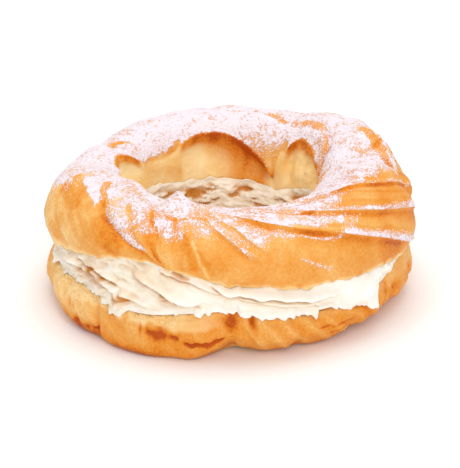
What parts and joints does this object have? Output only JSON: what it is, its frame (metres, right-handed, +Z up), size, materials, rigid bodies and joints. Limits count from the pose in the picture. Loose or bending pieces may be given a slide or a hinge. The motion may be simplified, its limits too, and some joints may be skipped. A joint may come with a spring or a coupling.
{
  "type": "paris brest pastry",
  "caption": "Ring of piped choux pastry, split across, filled with whipped cream and dusted with icing sugar; an individual dessert that is picked up and eaten.",
  "frame": {"origin": "middle of the ring at the plane it rests on", "axes": "+Z up along the axis of the hole, -Y towards the side where the lid lifts highest off the base, +X to that side's right"},
  "size_m": [0.0997, 0.0991, 0.0401],
  "materials": {
    "choux_base": "baked choux crust, golden tan, dry and slightly rough; stands for pastry",
    "cream": "whipped cream, ivory white, soft sheen; stands for cream",
    "choux_lid": "egg-washed choux crust, golden with a soft sheen, dusted with icing sugar; stands for pastry"
  },
  "bodies": {
    "root": {"choux_base": "choux_base", "cream_filling": "cream", "choux_lid": "choux_lid"}
  },
  "joints": []
}
